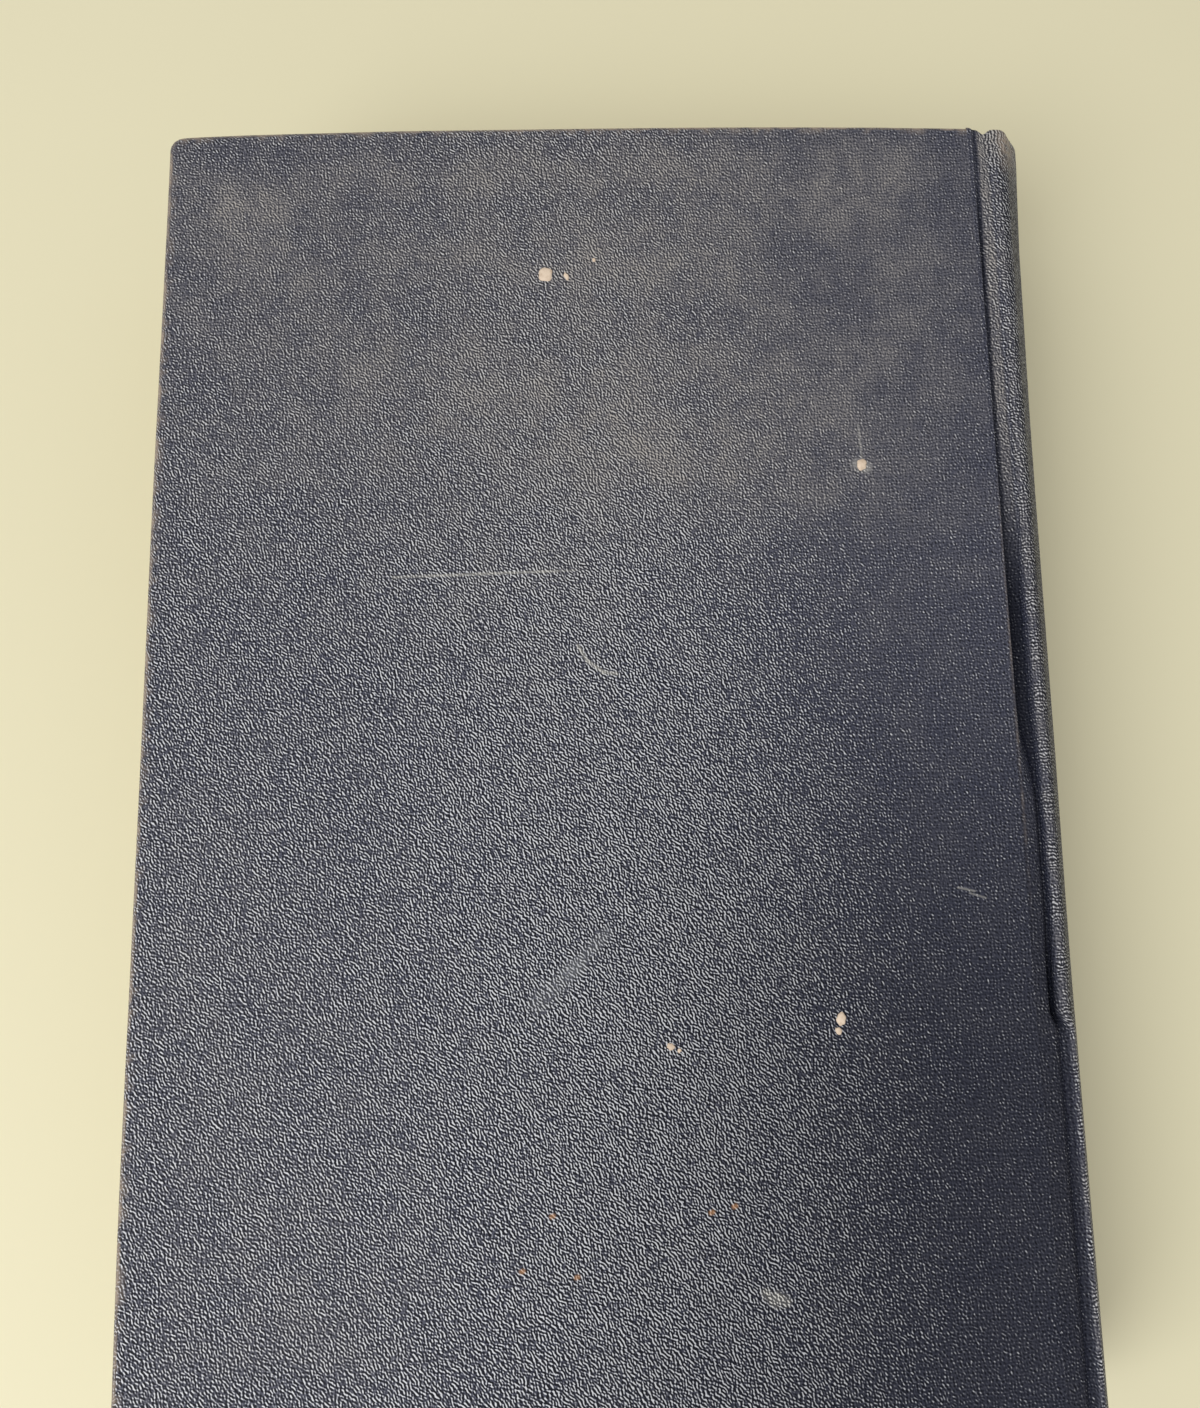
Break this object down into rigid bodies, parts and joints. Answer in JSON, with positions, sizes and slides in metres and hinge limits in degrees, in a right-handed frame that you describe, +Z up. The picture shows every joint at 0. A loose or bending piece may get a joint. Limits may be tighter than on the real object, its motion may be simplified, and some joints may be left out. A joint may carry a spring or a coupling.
{
  "type": "hardback book",
  "caption": "Cloth-covered hardback book with a rounded and backed spine, grooved joints and covers that swing open.",
  "frame": {"origin": "on the face the closed book lies on, under the middle of its outline", "axes": "+X towards the spine, +Y towards the head, +Z up through the rear cover"},
  "size_m": [0.1516, 0.222, 0.0388],
  "materials": {
    "case_cloth": "grained book cloth, dull",
    "page_paper": "uncoated, cut edges",
    "endpaper": "uncoated, smooth",
    "binders_board": "dense grey board",
    "manila_card": "thin card",
    "lining_paper": "brown kraft",
    "cotton_mull": "open weave, glued",
    "linen_thread": "twisted",
    "band_cotton": "woven stripe"
  },
  "bodies": {
    "block": {"text_block": "page_paper", "sewing_thread": "linen_thread", "mull": "cotton_mull", "spine_lining": "lining_paper", "spine_inlay": "manila_card", "headband": "band_cotton", "tailband": "band_cotton", "spine_cloth": "case_cloth", "rear_flyleaf": "endpaper", "rear_joint_cloth": "case_cloth", "front_flyleaf": "endpaper", "front_joint_cloth": "case_cloth"},
    "rear_cover": {"rear_board": "binders_board", "rear_cover_cloth": "case_cloth", "rear_mull_flange": "cotton_mull", "rear_pastedown": "endpaper"},
    "front_cover": {"front_board": "binders_board", "front_cover_cloth": "case_cloth", "front_mull_flange": "cotton_mull", "front_pastedown": "endpaper"}
  },
  "joints": [
    {"name": "rear_cover_hinge", "type": "hinge", "parent": "block", "child": "rear_cover", "pos_m": [0.06653, 0, 0.0388], "axis": [0, 1, 0], "range_deg": [0, 180], "deforming": ["rear_joint_cloth"]},
    {"name": "front_cover_hinge", "type": "hinge", "parent": "block", "child": "front_cover", "pos_m": [0.06653, 0, 0], "axis": [0, -1, 0], "range_deg": [0, 180], "deforming": ["front_joint_cloth"]}
  ]
}
